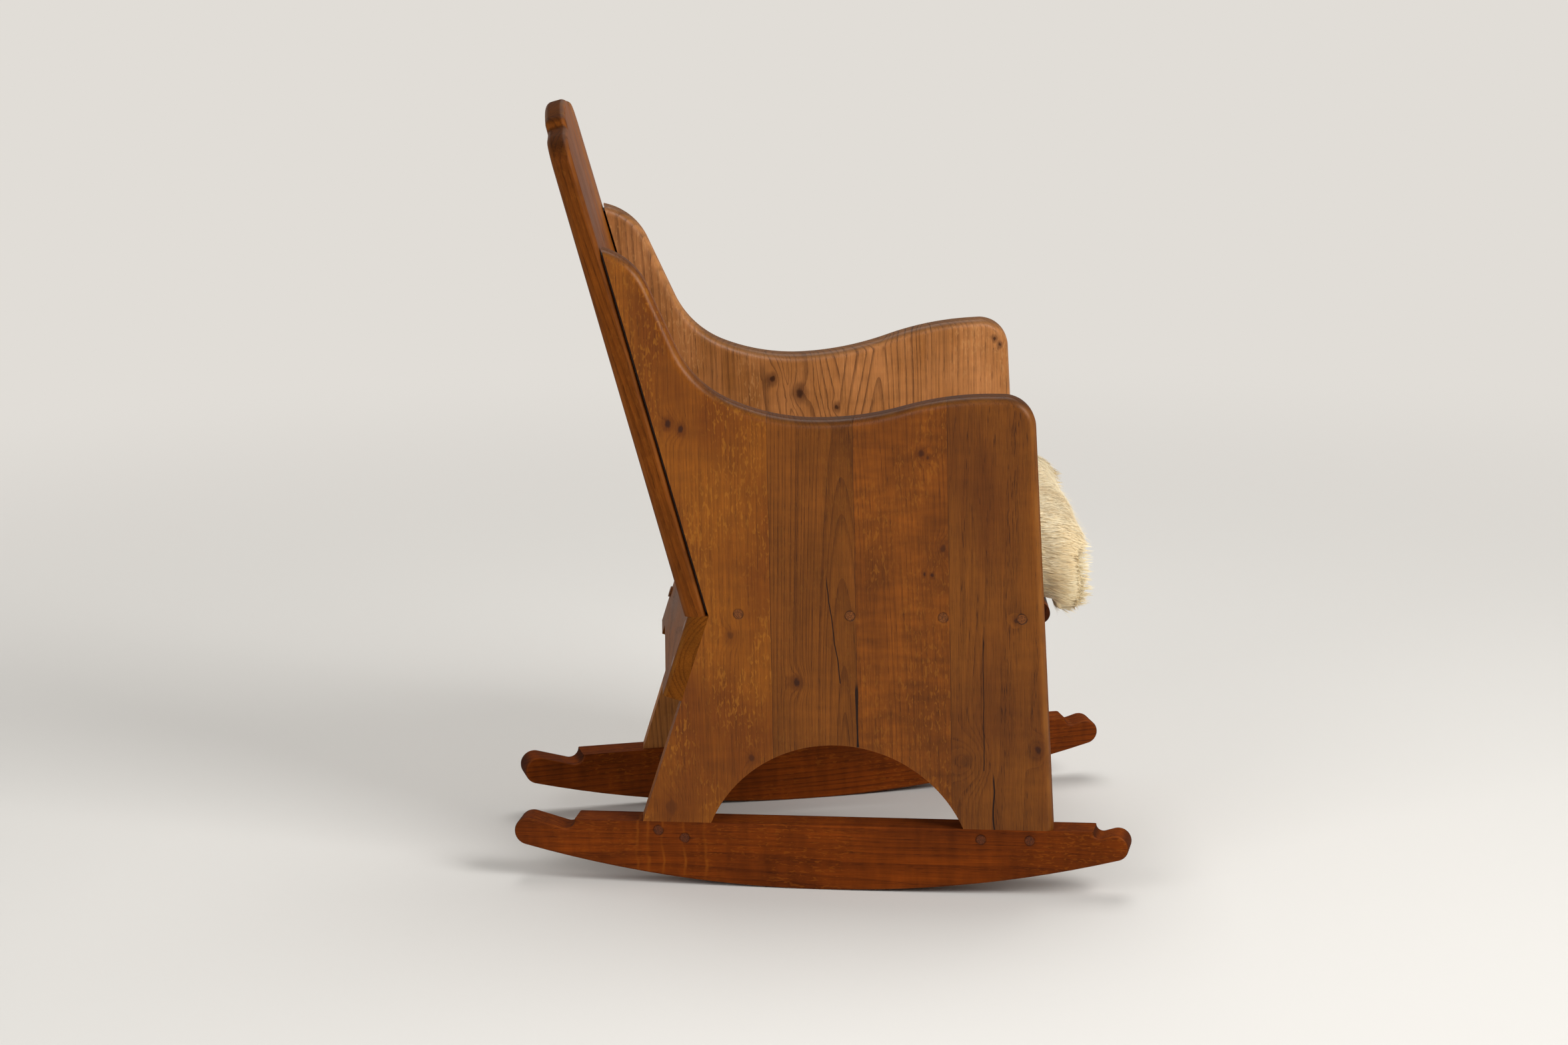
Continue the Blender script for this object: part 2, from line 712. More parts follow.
@dataclass
class PlankSide:
    """One side of the chair: four upright planks glued edge to edge."""

    side: Side
    joints_mm: Vec3 = (-53.9, 50.9, 166.0)
    pegs_mm: tuple[float, ...] = (-93.5, 44.0, 158.0, 254.0)

    def right_planks(self) -> tuple[OakBoard, ...]:
        """The figure of the right side's planks, from the rear one to the front one."""
        first, second, _ = self.joints_mm
        open_joint = Crack(second, 182.0, 268.0, 2.2)
        return (
            OakBoard(
                "honey quarter-sawn oak plank", HONEY, 11.3, (420.0, 60.0), (0.6, 0.4),
                ring_mm=6.0, wander_mm=10.0, ring_share=0.34, fleck_share=0.45, pore_share=0.42,
                knots=(Knot(-174.8, 582.0, 4.6), Knot(-159.0, 575.5, 4.2), Knot(-104.0, 320.0, 5.2, 0.45),
                       Knot(-81.0, 165.5, 4.4, 0.6), Knot(-182.0, 100.0, 9.0, 0.35)),
                cracks=(Crack(first + 1.5, 545.0, 585.0, 1.6),)),
            OakBoard(
                "umber plain-sawn oak plank", UMBER, 23.9, (36.5, -8.3), (4.1, 0.0),
                ring_mm=5.0, wander_mm=5.0, ring_share=0.72, fleck_share=0.12,
                knots=(Knot(-22.8, 262.4, 4.8),),
                cracks=(Crack(31.0, 262.0, 398.0, 0.9, -0.12), open_joint)),
            OakBoard(
                "amber oak plank", AMBER, 37.1, (-150.0, 110.0), (1.8, 1.2),
                ring_mm=6.5, wander_mm=13.0, ring_share=0.45, fleck_share=0.4, pore_share=0.5,
                ripple_share=0.2,
                knots=(Knot(134.0, 550.0, 4.0, 0.7), Knot(143.0, 545.0, 2.6, 0.6),
                       Knot(159.0, 433.0, 5.0, 0.6), Knot(136.0, 401.5, 2.6, 0.8),
                       Knot(145.5, 400.0, 2.4, 0.8)),
                cracks=(open_joint,)),
            OakBoard(
                "smoke oak plank", SMOKE, 52.7, (300.0, 240.0), (1.2, 0.5),
                ring_mm=5.2, wander_mm=9.0, ring_share=0.42, fleck_share=0.1, pore_share=0.8,
                knots=(Knot(247.0, 345.0, 3.2, 0.7), Knot(272.0, 183.5, 5.0), Knot(184.7, 168.0, 9.0, 0.3)),
                cracks=(Crack(217.0, 80.0, 156.0, 1.6), Crack(206.0, 156.0, 330.0, 0.6))),
        )

    def left_planks(self) -> tuple[OakBoard, ...]:
        """The figure of the left side's planks, from the rear one to the front one."""
        return (
            OakBoard(
                "rose quarter-sawn oak plank", ROSE, 64.3, (-320.0, 90.0), (1.5, 0.3),
                ring_mm=5.5, wander_mm=12.0, ring_share=0.5, fleck_share=0.5, pore_share=0.6,
                knots=(Knot(-128.0, 640.0, 3.6),)),
            OakBoard(
                "rose plain-sawn oak plank", ROSE, 71.9, (62.0, -44.0), (1.4, 9.0),
                ring_mm=8.0, wander_mm=26.0, ring_share=0.95, fleck_share=0.1, pore_share=0.6,
                band_start=0.62,
                knots=(Knot(-44.0, 558.9, 4.2), Knot(-8.7, 538.0, 6.0), Knot(40.1, 516.5, 3.6))),
            OakBoard(
                "amber plain-sawn oak plank", ROSE, 83.1, (74.0, -58.0), (4.4, -1.5),
                ring_mm=8.0, wander_mm=22.0, ring_share=0.95, fleck_share=0.1, band_start=0.62),
            OakBoard(
                "pale oak plank", ROSE, 95.7, (420.0, 160.0), (1.0, 0.4),
                ring_mm=5.5, wander_mm=10.0, ring_share=0.4, fleck_share=0.35, pore_share=0.6,
                knots=(Knot(249.6, 594.0, 2.6, 0.8), Knot(256.6, 585.6, 2.4, 0.8))),
        )

    def finish(self) -> None:
        """Dress the four planks, each with its glued joints and the rim of its peg."""
        label = self.side.label
        axes = side_axes(self.side)
        planks = self.right_planks() if self.side is Side.RIGHT else self.left_planks()
        for number, (plank, peg) in enumerate(zip(planks, self.pegs_mm)):
            board = replace(
                plank, name=f"{plank.name} {label}", seams_mm=self.joints_mm[max(number - 1, 0):number + 1],
                rims=(PegRim(peg, SEAT_PEG_MM),))
            dress(f"side_{label}_plank_{number + 1}", VarnishedOak(board, axes).build())


@dataclass
class LeaningBack:
    """The back: three upright boards, and the board across the rear feet."""

    lower_lean_deg: float = 18.4
    joint_mm: float = 64.0
    gloss_share: float = 0.4

    def boards(self) -> dict[str, OakBoard]:
        """The figure of the three upright boards, by the names of their pieces."""
        joint = self.joint_mm
        return {
            "back_board_right": OakBoard(
                "russet oak back board right", RUSSET, 111.3, (118.0, -82.0), (-4.0, 0.8), ring_mm=8.0,
                ring_share=0.75, fleck_share=0.2, seams_mm=(joint,), knots=(Knot(128.0, 330.0, 4.5),),
                gloss_share=self.gloss_share),
            "back_board_centre": OakBoard(
                "amber oak back board centre", AMBER, 123.7, (-12.0, -64.0), (-5.5, 1.4),
                ring_mm=8.5, wander_mm=20.0, ring_share=0.85, fleck_share=0.12, seams_mm=(-joint, joint),
                knots=(Knot(22.0, 455.0, 6.0), Knot(-30.0, 170.0, 4.0)), gloss_share=self.gloss_share),
            "back_board_left": OakBoard(
                "honey oak back board left", HONEY, 137.9, (260.0, 70.0), (1.2, 0.5), wander_mm=12.0,
                ring_share=0.45, fleck_share=0.6, pore_share=0.5, seams_mm=(-joint,),
                knots=(Knot(-120.0, 240.0, 3.8),), gloss_share=self.gloss_share),
        }

    def finish(self) -> None:
        """Dress the three back boards and the lower board."""
        lean = math.radians(BACK_LEAN_DEG)
        upright = BoardAxes(
            (0.0, -1.0, 0.0), (math.cos(lean), 0.0, math.sin(lean)), (-math.sin(lean), 0.0, math.cos(lean)),
            WAIST_MM)
        for node_name, board in self.boards().items():
            dress(node_name, VarnishedOak(board, upright).build())
        lower = math.radians(self.lower_lean_deg)
        level = BoardAxes(
            (math.sin(lower), 0.0, math.cos(lower)), (math.cos(lower), 0.0, -math.sin(lower)),
            (0.0, 1.0, 0.0), WAIST_MM)
        board = OakBoard(
            "umber oak lower board", UMBER, 149.1, (-50.0, 70.0), (3.0, 0.8), ring_mm=6.5, wander_mm=13.0,
            ring_share=0.65, fleck_share=0.1, pore_share=0.6, gloss_share=self.gloss_share, end_shade=0.85)
        dress("lower_back_board", VarnishedOak(board, level).build())


@dataclass
class BoardSeat:
    """The seat: four boards from side to side, the last one with the round nose."""

    piths_mm: tuple[Span, ...] = ((110.0, -80.0), (15.0, 70.0), (-105.0, -60.0), (-230.0, 65.0))
    first_seed: float = 160.3
    seed_step: float = 9.7

    def finish(self) -> None:
        """Dress the four seat boards."""
        axes = BoardAxes((-1.0, 0.0, 0.0), (0.0, 0.0, 1.0), (0.0, 1.0, 0.0), (0.0, 0.0, SEAT_PEG_MM))
        for number, pith in enumerate(self.piths_mm, start=1):
            corners = np.array([tuple(corner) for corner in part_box(f"seat_board_{number}")])
            rear, front = upright_mm(corners)[:, 0]
            nosed = number == len(self.piths_mm)
            board = OakBoard(
                f"chestnut oak seat board {number}", CHESTNUT if nosed else UMBER,
                self.first_seed + self.seed_step * number, pith, (2.0 + number, 0.7),
                ring_mm=7.5, wander_mm=15.0, ring_share=0.7, fleck_share=0.15,
                seams_mm=(-rear,) if nosed else (-rear, -front))
            dress(f"seat_board_{number}", VarnishedOak(board, axes).build())


@dataclass
class CurvedRocker:
    """One sawn rocker, its grain along its length."""

    side: Side
    seed: float
    # Each peg's place along the rocker and its height.
    pegs_mm: tuple[Span, ...] = ((-199.5, 71.0), (-167.0, 62.0), (200.5, 69.0), (260.5, 69.0))
    marks: tuple[WaterMark, ...] = (
        WaterMark(-226.0, 3.0), WaterMark(-213.0, 3.4), WaterMark(-195.0, 2.6), WaterMark(-168.0, 3.0),
        WaterMark(-141.0, 3.4))

    def finish(self) -> None:
        """Dress the rocker."""
        label = self.side.label
        flank = side_axes(self.side)
        axes = BoardAxes((0.0, 0.0, -1.0), flank.through, flank.across, flank.origin_mm)
        board = OakBoard(
            f"chestnut oak rocker {label}", CHESTNUT, self.seed, (30.0, -85.0 * self.side.value), (1.6, 0.9),
            ring_mm=6.5, wander_mm=14.0, fleck_share=0.35, pore_share=0.5, ripple_share=0.16, gloss_share=0.4,
            rims=tuple(PegRim(-height, place) for place, height in self.pegs_mm),
            marks=self.marks if self.side is Side.RIGHT else ())
        dress(f"rocker_{label}", VarnishedOak(board, axes).build())


@dataclass
class PegsAndDowels:
    """The pegs whose ends show on the sides and rockers, and the hidden dowels."""

    peg: PlainTimber = PlainTimber("end grain of oak pegs", "#7A4418", "#4A270E", 1.6, 0.45)
    dark_peg: PlainTimber = PlainTimber("end grain of stained oak pegs", "#5C2A0A", "#381806", 1.6, 0.5)
    dowel: PlainTimber = PlainTimber("plain beech dowel", "#B98D5E", "#9C7145", 2.2, 0.6)

    def finish(self) -> None:
        """Dress every peg and dowel."""
        peg, dark_peg, dowel = (timber.build() for timber in (self.peg, self.dark_peg, self.dowel))
        for side in Side:
            dress(f"seat_pegs_{side.label}", peg)
            dress(f"rocker_pegs_{side.label}", dark_peg)
            dress(f"back_dowels_{side.label}", dowel)
            dress(f"lower_pegs_{side.label}", peg)


@dataclass
class BackJoint:
    """The old dark glue that fills the narrow joint between the back and one side's rear edge."""

    side: Side
    glue: PlainTimber = PlainTimber("old dark glue", "#2B1709", "#150A04", 3.0, 0.55)
    # Its lower and upper end on the left side.
    foot_mm: Vec3 = (-130.1, 187.5, 346.0)
    tip_mm: Vec3 = (-246.0, 165.7, 788.0)
    width_mm: float = 23.0
    thick_mm: float = 2.3
    arris_mm: float = 0.5
    uneven_mm: float = 1.6
    waves_per_m: float = 60.0
    cuts: int = 70
    crease_deg: float = 35.0

    def pick_long_edges(self, mesh: Any) -> None:
        """Select only the edges that run along the strip.

        Args:
            mesh: the strip's mesh, its length along Z.
        """
        for part in (*mesh.polygons, *mesh.vertices):
            part.select = False
        for edge in mesh.edges:
            low, high = (mesh.vertices[corner].co.z for corner in edge.vertices)
            edge.select = abs(high - low) > self.thick_mm / MM

    def build(self) -> None:
        """Model the strip of glue with uneven edges, set it in the joint and dress it."""
        ends = np.array((self.foot_mm, self.tip_mm)) * (1.0, self.side.value, 1.0)
        foot, tip = (Vector(end) for end in standing_m(ends))
        bpy.ops.object.select_all(action="DESELECT")
        bpy.ops.mesh.primitive_cube_add(size=1.0)
        strip = bpy.context.object
        strip.name = f"back_joint_glue_{self.side.label}"
        strip.scale = (self.thick_mm / MM, self.width_mm / MM, (tip - foot).length)
        bpy.ops.object.transform_apply(location=False, rotation=False, scale=True)
        bpy.context.tool_settings.mesh_select_mode = (False, True, False)
        self.pick_long_edges(strip.data)
        bpy.ops.object.mode_set(mode="EDIT")
        bpy.ops.mesh.bevel(offset=self.arris_mm / MM, segments=2)
        bpy.ops.object.mode_set(mode="OBJECT")
        self.pick_long_edges(strip.data)
        bpy.ops.object.mode_set(mode="EDIT")
        bpy.ops.mesh.subdivide(number_cuts=self.cuts)
        bpy.ops.object.mode_set(mode="OBJECT")
        for vertex in strip.data.vertices:
            edge = math.copysign(1.0, vertex.co.y)
            waver = noise.noise(Vector((self.side.value, edge, self.waves_per_m * vertex.co.z)))
            vertex.co.y += self.uneven_mm / MM * waver
        lean = math.radians(BACK_LEAN_DEG + REST_LEAN_DEG)
        length = (tip - foot).normalized()
        width = length.cross(Vector((-math.cos(lean), 0.0, -math.sin(lean)))).normalized()
        turn = Matrix((width.cross(length), width, length)).transposed()
        strip.matrix_world = Matrix.Translation((foot + tip) / 2) @ turn.to_4x4()
        bpy.ops.object.transform_apply(location=True, rotation=True, scale=True)
        bpy.ops.object.shade_smooth_by_angle(angle=math.radians(self.crease_deg))
        strip.data.materials.append(self.glue.build())
        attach(strip, "chair")
        log.info("built %s", strip.name)


class HairZone(Enum):
    """Where hair grows on the cushion, with the name of the piece that it makes there."""

    TOP = "cushion_hair_top"
    FRONT = "cushion_hair_front"


class HairOnHide:
    """Cream hide with its short hair on: streaks of cream, ivory and straw, no gloss to speak of."""

    CREAM = "#EAD3A4"
    IVORY = "#F5E7C4"
    STRAW = "#D6B273"
    SHADOW = "#6E4A24"
    # The streaks' size along, across and down the hide, and the size of its warmer patches.
    STREAK_MM = (26.0, 2.4, 6.0)
    PATCH_MM = 85.0

    def tinted(self, tree: Any, place: Any, share: Any) -> Any:
        """Mix the hide's shades: cream to ivory, with patches of straw.

        Args:
            tree: the node tree.
            place: the socket with Object coordinates.
            share: how much ivory there is.

        Returns:
            The node that gives the colour.
        """
        patches = add(tree, NOISE, {}, {"Vector": place, "Scale": MM / self.PATCH_MM, "Detail": 2.0})
        own = add(tree, MIX, COLOUR, {0: share, 6: linear(self.CREAM), 7: linear(self.IVORY)})
        warm = add(tree, RANGE, SMOOTH, {"Value": patches, "From Min": 0.5, "From Max": 0.74, "To Max": 0.5})
        return add(tree, MIX, COLOUR, {0: warm, 6: own, 7: linear(self.STRAW)})

    def skin(self) -> Any:
        """Make the hide under the hair, streaked along the way the hair lies.

        Returns:
            The finished material.
        """
        made = fresh_material("cream hair-on hide")
        tree = made.node_tree
        place = add(tree, "ShaderNodeTexCoord").outputs["Object"]
        long_way = add(tree, "ShaderNodeMapping", {}, {
            "Vector": place, "Scale": tuple(MM / size for size in self.STREAK_MM)})
        streaks = add(tree, NOISE, {}, {
            "Vector": long_way, "Scale": 1.0, "Detail": 4.0, "Roughness": 0.62, "Distortion": 0.4})
        share = add(tree, RANGE, {}, {"Value": streaks, "From Min": 0.32, "From Max": 0.68})
        shade = self.tinted(tree, place, share)
        pleat = add(tree, "ShaderNodeAttribute", {"attribute_name": "pleat"})
        shut = add(tree, RANGE, {}, {
            "Value": pleat.outputs["Fac"], "From Min": 0.25, "From Max": 0.9, "To Max": 0.8})
        folded = add(tree, MIX, COLOUR, {0: shut, 6: shade, 7: linear(self.SHADOW)})
        relief = add(tree, "ShaderNodeBump", {}, {"Strength": 0.7, "Distance": 1.2 / MM, "Height": streaks})
        surface = add(tree, "ShaderNodeBsdfPrincipled", {}, {
            "Base Color": folded, "Roughness": 0.85, "Sheen Weight": 0.25, "Sheen Roughness": 0.5,
            "Normal": relief})
        add(tree, "ShaderNodeOutputMaterial", {}, {"Surface": surface})
        return made

    def hair(self) -> Any:
        """Make the hairs: each its own shade, darker at the root and pale at the tip.

        Returns:
            The finished material.
        """
        made = fresh_material("cream cattle hair")
        tree = made.node_tree
        lock = add(tree, "ShaderNodeUVMap", {"uv_map": "lock"})
        split = add(tree, "ShaderNodeSeparateXYZ", {}, {0: lock})
        place = add(tree, "ShaderNodeTexCoord").outputs["Object"]
        tinted = self.tinted(tree, place, split.outputs[0])
        root = add(tree, RANGE, {}, {"Value": split.outputs[1], "To Min": 0.84, "To Max": 1.04})
        shade = add(tree, VECTOR, "SCALE", {0: tinted, "Scale": root})
        surface = add(tree, "ShaderNodeBsdfPrincipled", {}, {
            "Base Color": shade, "Roughness": 0.6, "Sheen Weight": 0.15})
        add(tree, "ShaderNodeOutputMaterial", {}, {"Surface": surface})
        return made


class LiningCloth:
    """Plain woven cotton under the cushion: an over-and-under weave of dull brown thread."""

    # Real thread is 0.6 mm apart. At this scale the bands of the weave are 12.6 mm apart, a coarse cloth.
    WEAVE_SCALE = 25.0
    GAP = "#5F4E3C"
    THREAD = "#83705A"

    def build(self) -> Any:
        """Put the cloth together.

        Returns:
            The finished material.
        """
        made = fresh_material("plain woven lining")
        tree = made.node_tree
        coords = add(tree, "ShaderNodeTexCoord")
        across, along = (
            add(tree, "ShaderNodeTexWave", {"bands_direction": direction}, {
                "Vector": coords.outputs["Object"], "Scale": self.WEAVE_SCALE, "Distortion": 0.6,
                "Detail Scale": 2.0}).outputs["Fac"]
            for direction in ("X", "Y"))
        weave = add(tree, MATH, "MULTIPLY", {0: across, 1: along})
        shade = add(tree, MIX, COLOUR, {0: weave, 6: linear(self.GAP), 7: linear(self.THREAD)})
        relief = add(tree, "ShaderNodeBump", {}, {"Strength": 0.5, "Distance": 0.4 / MM, "Height": weave})
        surface = add(tree, "ShaderNodeBsdfPrincipled", {}, {
            "Base Color": shade, "Roughness": 0.9, "Normal": relief})
        add(tree, "ShaderNodeOutputMaterial", {}, {"Surface": surface})
        return made


@dataclass(frozen=True)
class Skin:
    """The triangles of the hide, upright in millimetres: corners, middles, outward directions and areas."""

    corners: tuple[np.ndarray, np.ndarray, np.ndarray]
    middle: np.ndarray
    normal: np.ndarray
    area: np.ndarray


@dataclass
class HideCushion:
    """The loose cushion: a filled hide whose hair lies forward and hangs at its edges."""

    # The blank and its filling.
    voxel_mm: float = 5.5
    weld_mm: float = 0.05
    swell_mm: float = 9.0
    frames: int = 20
    pressure: float = 4.0
    hide_mass: float = 0.3
    stretch_stiffness: float = 12.0
    shear_stiffness: float = 4.0
    bending_stiffness: float = 0.4
    # The room it keeps to the chair.
    side_room_mm: float = 1.4
    hair_room_mm: float = 0.5
    corner_mm: float = 1.0
    edge_slip_mm: float = 0.5
    seat_top_mm: float = 360.9
    seat_front_mm: float = 292.0
    # The soft edges and the crown.
    ease_rounds: int = 10
    crown_rounds: int = 120
    crown_mm: Span = (434.0, 450.0)
    # The rolls of its surface: their length and height, and the levels where they start.
    core_mm: Vec3 = (100.0, 0.0, 405.0)
    roll_mm: Span = (58.0, 1.8)
    roll_levels_mm: Span = (366.0, 386.0)
    # The fuller front: how far forward, between which places and levels, and round which middle.
    front_fill_mm: float = 15.0
    front_mm: Span = (225.0, 318.0)
    front_levels_mm: Span = (408.0, 440.0)
    front_low_share: float = 0.4
    front_middle_mm: Span = (-80.0, 170.0)
    # The slack far side.
    slack_mm: float = 4.0
    slack_front_mm: Span = (215.0, 310.0)
    slack_side_mm: Span = (-40.0, 210.0)
    slack_levels_mm: Span = (396.0, 445.0)
    # The hanging front edge: it starts further back at the corners, and there over a shorter way.
    hang_mm: float = 14.0
    flare_mm: float = 6.0
    corners_mm: Span = (196.0, 214.0)
    hang_start_mm: Span = (288.0, 9.0)
    hang_way_mm: Span = (26.0, 14.0)
    hang_levels_mm: Span = (392.0, 362.0)
    # The bulge past the sides' front edges, and the room that the hair takes up in front.
    side_bulge_mm: float = 5.0
    bulge_front_mm: Span = (281.0, 305.0)
    bulge_from_mm: float = 190.0
    bulge_level_mm: Span = (400.0, 40.0)
    coat_room_mm: float = 5.5
    coat_front_mm: Span = (286.0, 318.0)
    # The pleats at the front corners: their place, size, levels, and the direction across their leaning line.
    pleat_mm: Span = (326.5, 238.0)
    pleat_depth_mm: float = 7.0
    pleat_width_mm: float = 2.6
    pleat_reach_mm: float = 30.0
    pleat_levels_mm: Span = (437.0, 415.0)
    pleat_across: Vec3 = (0.82, -0.57, 0.05)
    pleat_level_mm: float = 395.0
    # The cloth under it: how far it faces down, and half its width behind and what it gains in front.
    lining_tilt: float = -0.7
    lining_half_m: Span = (0.135, 0.08)
    # The hair.
    hair_count: int = 38000
    seed: int = 5
    hair_length_mm: Span = (9.0, 16.0)
    hair_width_mm: float = 0.95
    hair_uneven: Span = (0.7, 1.3)
    hair_lift_deg: Span = (2.0, 8.0)
    hair_taper: float = 0.45
    hair_sag: float = 0.03
    hair_root_mm: float = 0.35
    side_hair_longer: float = 0.45
    stray_share: float = 0.03
    stray_length_mm: float = 22.0
    stray_uneven: Span = (0.7, 1.0)
    stray_lift_deg: Span = (9.0, 24.0)
    # Which way it lies: forward and down, less so on the sides, and outward towards them.
    lie: Vec3 = (0.94, 0.0, -0.26)
    lie_uneven: float = 0.1
    side_lie_up: float = 0.18
    side_lie_out: float = 0.2
    side_lie_mm: Span = (120.0, 230.0)
    shine_uneven: float = 0.14
    # Where it grows: the zones' borders, the tilts that count as underside, top and side, and the thin
    # growth where the chair hides the hide.
    front_from_mm: float = 279.0
    front_edge_mm: float = 300.0
    under_tilt: Span = (-0.45, -0.9)
    top_tilt: float = 0.8
    side_tilt: float = 0.6
    hidden_to_mm: float = 262.0
    hidden_share: float = 0.45
    pleat_trim_share: float = 0.3

    def keep_clear(self, points: np.ndarray, spare_mm: float) -> np.ndarray:
        """Keep places off the sides, the back and the seat.

        Args:
            points: rows of upright places in millimetres.
            spare_mm: the least distance to keep.

        Returns:
            The same rows, moved where they came too near.
        """
        kept = points.copy()
        half = SIDE_FACE_MM + kept[:, 0] * math.tan(SPLAY) - PLANK_MM / math.cos(SPLAY) - spare_mm
        beside = kept[:, 0] < SIDE_FRONT_MM + self.corner_mm
        kept[:, 1] = np.where(beside, np.clip(kept[:, 1], -half, half), kept[:, 1])
        past_end = (kept[:, 0] > SIDE_FRONT_MM) & (np.abs(kept[:, 1]) > half + spare_mm + self.edge_slip_mm)
        on_seat = (kept[:, 0] < self.seat_front_mm) & ~past_end
        kept[:, 2] = np.where(on_seat, np.maximum(kept[:, 2], self.seat_top_mm), kept[:, 2])
        kept[:, 0] = np.maximum(kept[:, 0], WAIST_MM[0] + spare_mm)
        return kept

    def blank(self) -> Any:
        """Copy the filling's form into a new object and mesh it evenly.

        Returns:
            The evenly meshed form.
        """
        bpy.ops.object.select_all(action="DESELECT")
        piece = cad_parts["cushion_filling"].copy()
        piece.data = piece.data.copy()
        piece.parent = None
        for key in list(piece.keys()):
            del piece[key]
        piece.name = "hide_cushion"
        bpy.context.scene.collection.objects.link(piece)
        bpy.context.view_layer.objects.active = piece
        piece.select_set(True)
        bpy.ops.object.mode_set(mode="EDIT")
        bpy.ops.mesh.select_all(action="SELECT")
        bpy.ops.mesh.remove_doubles(threshold=self.weld_mm / MM)
        bpy.ops.mesh.customdata_custom_splitnormals_clear()
        bpy.ops.object.mode_set(mode="OBJECT")
        piece.data.materials.clear()
        remesh = piece.modifiers.new("even mesh", "REMESH")
        remesh.mode = "VOXEL"
        remesh.voxel_size = self.voxel_mm / MM
        bpy.ops.object.modifier_apply(modifier=remesh.name)
        return piece

    def points_of(self, mesh: Any) -> np.ndarray:
        """The places of a mesh's vertices, one row each."""
        places = np.empty(3 * len(mesh.vertices), np.float32)
        mesh.vertices.foreach_get("co", places)
        return places.reshape(-1, 3).astype(float)

    def place(self, piece: Any, chair_points: np.ndarray) -> None:
        """Write upright places into a piece's mesh, clear of the chair.

        Args:
            piece: the piece.
            chair_points: rows of upright places in millimetres.
        """
        standing = standing_m(self.keep_clear(chair_points, self.side_room_mm))
        piece.data.vertices.foreach_set("co", standing.astype(np.float32).ravel())
        piece.data.update()

    def inflate(self, piece: Any) -> None:
        """Fill the hide: swell it under pressure, with a limit on how far it moves.

        Args:
            piece: the evenly meshed form.
        """
        start = self.points_of(piece.data)
        cloth = piece.modifiers.new("filling", "CLOTH")
        settings = cloth.settings
        settings.use_pressure = True
        settings.uniform_pressure_force = self.pressure
        settings.mass = self.hide_mass
        settings.tension_stiffness = self.stretch_stiffness
        settings.compression_stiffness = self.stretch_stiffness
        settings.shear_stiffness = self.shear_stiffness
        settings.bending_stiffness = self.bending_stiffness
        settings.effector_weights.gravity = 0.0
        scene = bpy.context.scene
        for number in range(1, self.frames + 1):
            scene.frame_set(number)
        bpy.context.view_layer.objects.active = piece
        bpy.ops.object.modifier_apply(modifier=cloth.name)
        scene.frame_set(1)
        moved = self.points_of(piece.data) - start
        reach = np.linalg.norm(moved, axis=1, keepdims=True)
        log.info("filled the cushion: it moved %.1f mm at most", MM * reach.max())
        moved *= np.minimum(1.0, self.swell_mm / MM / np.maximum(reach, 1e-9))
        self.place(piece, upright_mm(start + moved))

    def ease(self, piece: Any) -> None:
        """Soften the filled hide all over, and even out its top into one crown.

        Args:
            piece: the filled form.
        """
        height = upright_mm(self.points_of(piece.data))[:, 2]
        top = piece.vertex_groups.new(name="top")
        for number, share in enumerate(ramp(height, *self.crown_mm)):
            top.add([number], float(share), "REPLACE")
        bpy.context.view_layer.objects.active = piece
        passes = (("soft edges", self.ease_rounds, ""), ("crown", self.crown_rounds, top.name))
        for name, rounds, group in passes:
            smooth = piece.modifiers.new(name, "SMOOTH")
            smooth.iterations = rounds
            smooth.vertex_group = group
            smooth.use_x = not group
            smooth.use_y = not group
            bpy.ops.object.modifier_apply(modifier=name)
        piece.vertex_groups.clear()

    def pucker(self, piece: Any) -> None:
        """Let the hide's surface roll a little, fill its front edge and let the edge hang.

        Args:
            piece: the filled form.
        """
        points = upright_mm(self.points_of(piece.data))
        # Views into the rows: they follow each change below.
        forward, sideways, level = points.T
        roll_length, roll_height = self.roll_mm
        rolls = np.array([noise.noise(Vector(point) / roll_length) for point in points])
        outward = points - np.array(self.core_mm)
        outward /= np.linalg.norm(outward, axis=1, keepdims=True)
        points += outward * (roll_height * rolls * slope(level, *self.roll_levels_mm))[:, None]
        upper = self.front_low_share + (1.0 - self.front_low_share) * ramp(level, *self.front_levels_mm)
        full = upper * bell(sideways, *self.front_middle_mm)
        forward += self.front_fill_mm * ramp(forward, *self.front_mm) * full
        slack = ramp(forward, *self.slack_front_mm) * ramp(sideways, *self.slack_side_mm)
        level -= self.slack_mm * slack * ramp(level, *self.slack_levels_mm)
        outer = ramp(np.abs(sideways), *self.corners_mm)
        start = self.hang_start_mm[0] - self.hang_start_mm[1] * outer
        hang = slope(forward, start, start + self.hang_way_mm[0] - self.hang_way_mm[1] * outer)
        low = slope(level, *self.hang_levels_mm)
        level -= self.hang_mm * hang * low ** 2
        forward += self.flare_mm * hang * low
        for side in Side:
            beside = slope(forward, *self.bulge_front_mm) * (side.value * sideways > self.bulge_from_mm)
            sideways += side.value * self.side_bulge_mm * beside * bell(level, *self.bulge_level_mm)
        forward -= self.coat_room_mm * ramp(forward, *self.coat_front_mm)
        self.place(piece, points)

    def pleat_line(self, points: np.ndarray, side: Side) -> tuple[np.ndarray, np.ndarray]:
        """Find the line of the pleat at a front corner, where the hide is folded round and sewn.

        Args:
            points: rows of upright places in millimetres.
            side: the side of the chair.

        Returns:
            How far in front of the line each place is, and how much of the pleat is there, from 0 to 1.
        """
        along_x = points[:, 0] - self.pleat_mm[0]
        along_y = side.value * points[:, 1] - self.pleat_mm[1]
        forward, outward, upward = self.pleat_across
        across = forward * along_x + outward * along_y + upward * (points[:, 2] - self.pleat_level_mm)
        near = np.exp(-((along_x ** 2 + along_y ** 2) / self.pleat_reach_mm ** 2))
        return across, near * slope(points[:, 2], *self.pleat_levels_mm)

